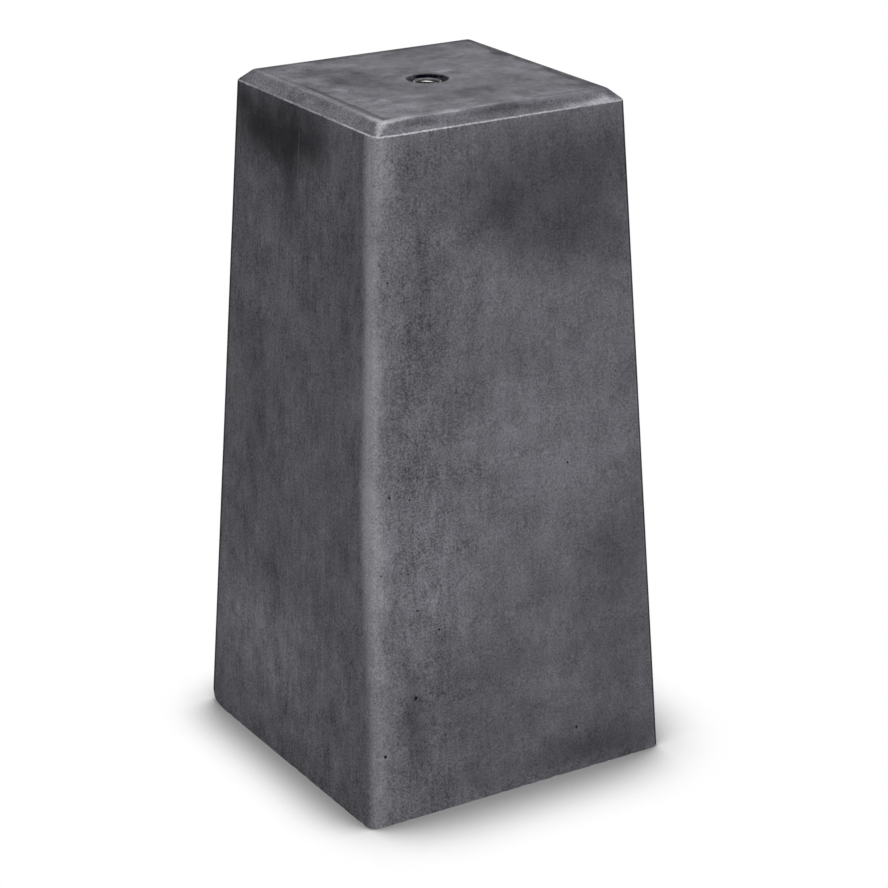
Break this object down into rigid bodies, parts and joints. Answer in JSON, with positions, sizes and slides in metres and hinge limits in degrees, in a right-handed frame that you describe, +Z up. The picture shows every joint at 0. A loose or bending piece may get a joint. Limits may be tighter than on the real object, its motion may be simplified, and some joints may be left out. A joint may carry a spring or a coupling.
{
  "type": "concrete deck pier block",
  "caption": "Tapered square concrete pier block with a chamfered top and a threaded steel socket cast into it, to carry a deck or veranda post.",
  "frame": {"origin": "middle of the foot, on the ground", "axes": "+Z up along the block; the front face of the picture's right side looks along -Y, and the face on the picture's left side along -X"},
  "size_m": [0.25, 0.25, 0.5],
  "materials": {
    "anthracite_concrete": "smooth cast concrete, pigmented anthracite, matt, slightly mottled",
    "zinc_plated_steel": "dull zinc plating",
    "plain_bar_steel": "mill finish round bar"
  },
  "bodies": {
    "root": {"pier_block": "anthracite_concrete", "threaded_socket": "zinc_plated_steel", "anchor_pin": "plain_bar_steel"}
  },
  "joints": []
}
